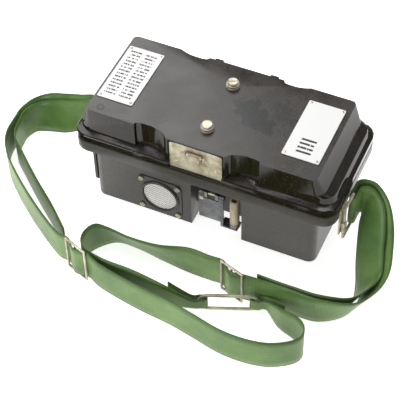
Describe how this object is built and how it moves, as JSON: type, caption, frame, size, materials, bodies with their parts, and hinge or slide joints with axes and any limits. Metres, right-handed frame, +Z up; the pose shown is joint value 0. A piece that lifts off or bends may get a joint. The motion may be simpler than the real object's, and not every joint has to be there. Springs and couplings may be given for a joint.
{
  "type": "field telephone",
  "caption": "Closed moulded field telephone case with hinged lid, folding hand crank, ringer grille, press studs, stored handset and webbing carrying strap.",
  "frame": {"origin": "centre of the case's flat underside, on the surface it stands on", "axes": "+X to the right along the case's long side, +Y to the hinge side at the back, +Z up"},
  "size_m": [0.4513, 0.2636, 0.1471],
  "materials": {
    "moulding_base": "satin dark grey-black moulded phenolic",
    "moulding_lid": "glossy brown-black moulded phenolic",
    "rubber": "matt black rubber",
    "fibre": "brown fibre board",
    "steel": "bare steel",
    "crank": "grey enamelled steel",
    "nickel": "dull nickel plate",
    "zinc": "yellowish zinc plate",
    "brass": "brass",
    "copper": "varnished copper windings",
    "red_lacquer": "red lacquered magnet steel",
    "cell": "blue-grey printed cell jacket",
    "mesh": "pale diagonal wire mesh",
    "label": "off-white plate with rows of unreadable dashes",
    "grip": "tan moulded tube",
    "webbing": "green woven cotton webbing"
  },
  "bodies": {
    "case": {"base_shell": "moulding_base", "grille_plate": "moulding_base", "battery_cover": "moulding_base", "handset_body": "moulding_lid", "ear_cap": "moulding_lid", "mouth_cap": "moulding_lid", "rim_gasket": "rubber", "cord_gland": "rubber", "battery_tray": "fibre", "deck_plate": "fibre", "terminal_board": "fibre", "ringer_frame": "steel", "crank_spindle": "steel", "grille_screw_1": "nickel", "grille_screw_2": "nickel", "grille_screw_3": "nickel", "grille_screw_4": "nickel", "ringer_gong_1": "nickel", "ringer_gong_2": "nickel", "capacitor_can": "nickel", "crank_hinge_pin": "nickel", "hinge_pin": "nickel", "ear_capsule": "nickel", "mouth_capsule": "nickel", "slider_right": "nickel", "slider_left": "nickel", "oval_ring": "nickel", "lug_screw_right": "nickel", "lug_screw_left": "nickel", "lug_bracket_right": "zinc", "lug_bracket_left": "zinc", "battery_contact": "brass", "generator_frame": "brass", "ringer_coils": "copper", "induction_coil": "copper", "generator_magnets": "red_lacquer", "battery_cell_1": "cell", "battery_cell_2": "cell", "grille_mesh": "mesh", "strap_right": "webbing", "strap_left": "webbing"},
    "lid": {"lid_shell": "moulding_lid", "label_left": "label", "label_right": "label", "terminal_front_bush": "brass", "terminal_rear_bush": "brass", "latch_plate": "zinc", "latch_pin": "nickel"},
    "terminal_front": {"terminal_front": "nickel"},
    "terminal_rear": {"terminal_rear": "nickel"},
    "latch_tongue": {"latch_tongue": "zinc"},
    "crank": {"crank_arm": "crank", "grip_axle": "steel"},
    "grip": {"crank_grip": "grip"},
    "drive_gear": {"drive_gear": "brass"},
    "generator_armature": {"generator_armature": "steel"},
    "ringer_clapper": {"ringer_clapper": "steel"},
    "talk_lever": {"talk_lever": "moulding_base"},
    "lug_ring_right": {"lug_ring_right": "nickel"},
    "lug_ring_left": {"lug_ring_left": "nickel"}
  },
  "joints": [
    {"name": "lid_hinge", "type": "hinge", "parent": "case", "child": "lid", "pos_m": [0, 0.069, 0.097], "axis": [-1, 0, 0], "range_deg": [0, 105]},
    {"name": "terminal_front_press", "type": "slide", "parent": "lid", "child": "terminal_front", "axis": [0, 0, -1], "range_m": [0, 0.0013], "stiffness_N_per_m": 400, "springref_m": -0.002},
    {"name": "terminal_rear_press", "type": "slide", "parent": "lid", "child": "terminal_rear", "axis": [0, 0, -1], "range_m": [0, 0.0013], "stiffness_N_per_m": 400, "springref_m": -0.002},
    {"name": "latch_swing", "type": "hinge", "parent": "lid", "child": "latch_tongue", "pos_m": [-0.001, -0.065, 0.1278], "axis": [-1, 0, 0], "range_deg": [0, 30]},
    {"name": "crank_fold", "type": "hinge", "parent": "case", "child": "crank", "pos_m": [0.0075, -0.0424, 0.05], "axis": [-1, 0, 0], "range_deg": [0, 92]},
    {"name": "grip_spin", "type": "hinge", "parent": "crank", "child": "grip", "pos_m": [0.032, -0.0398, 0.0089], "axis": [0, 0, 1], "continuous": true},
    {"name": "gear_spin", "type": "hinge", "parent": "case", "child": "drive_gear", "pos_m": [0.0075, -0.0136, 0.05], "axis": [0, 1, 0], "continuous": true},
    {"name": "armature_spin", "type": "hinge", "parent": "case", "child": "generator_armature", "pos_m": [0.0315, -0.0136, 0.05], "axis": [0, 1, 0], "continuous": true},
    {"name": "clapper_swing", "type": "hinge", "parent": "case", "child": "ringer_clapper", "pos_m": [-0.0496, -0.037, 0.025], "axis": [0, 1, 0], "range_deg": [-5, 5], "stiffness_Nm_per_rad": 0.002},
    {"name": "talk_press", "type": "hinge", "parent": "case", "child": "talk_lever", "pos_m": [-0.018, -0.012, 0.121], "axis": [0, 0, 1], "range_deg": [0, 4], "stiffness_Nm_per_rad": 0.4, "springref_deg": -5.73},
    {"name": "ring_right_swing", "type": "hinge", "parent": "case", "child": "lug_ring_right", "pos_m": [0.1526, -0.044, 0.052], "axis": [0, 0, 1], "range_deg": [-2, 2]},
    {"name": "ring_left_swing", "type": "hinge", "parent": "case", "child": "lug_ring_left", "pos_m": [-0.1446, 0.032, 0.036], "axis": [0, 0, 1], "range_deg": [-2, 2]}
  ],
  "couplings": [
    {"joint": "armature_spin", "follows": "gear_spin", "ratio": -4.1304}
  ]
}
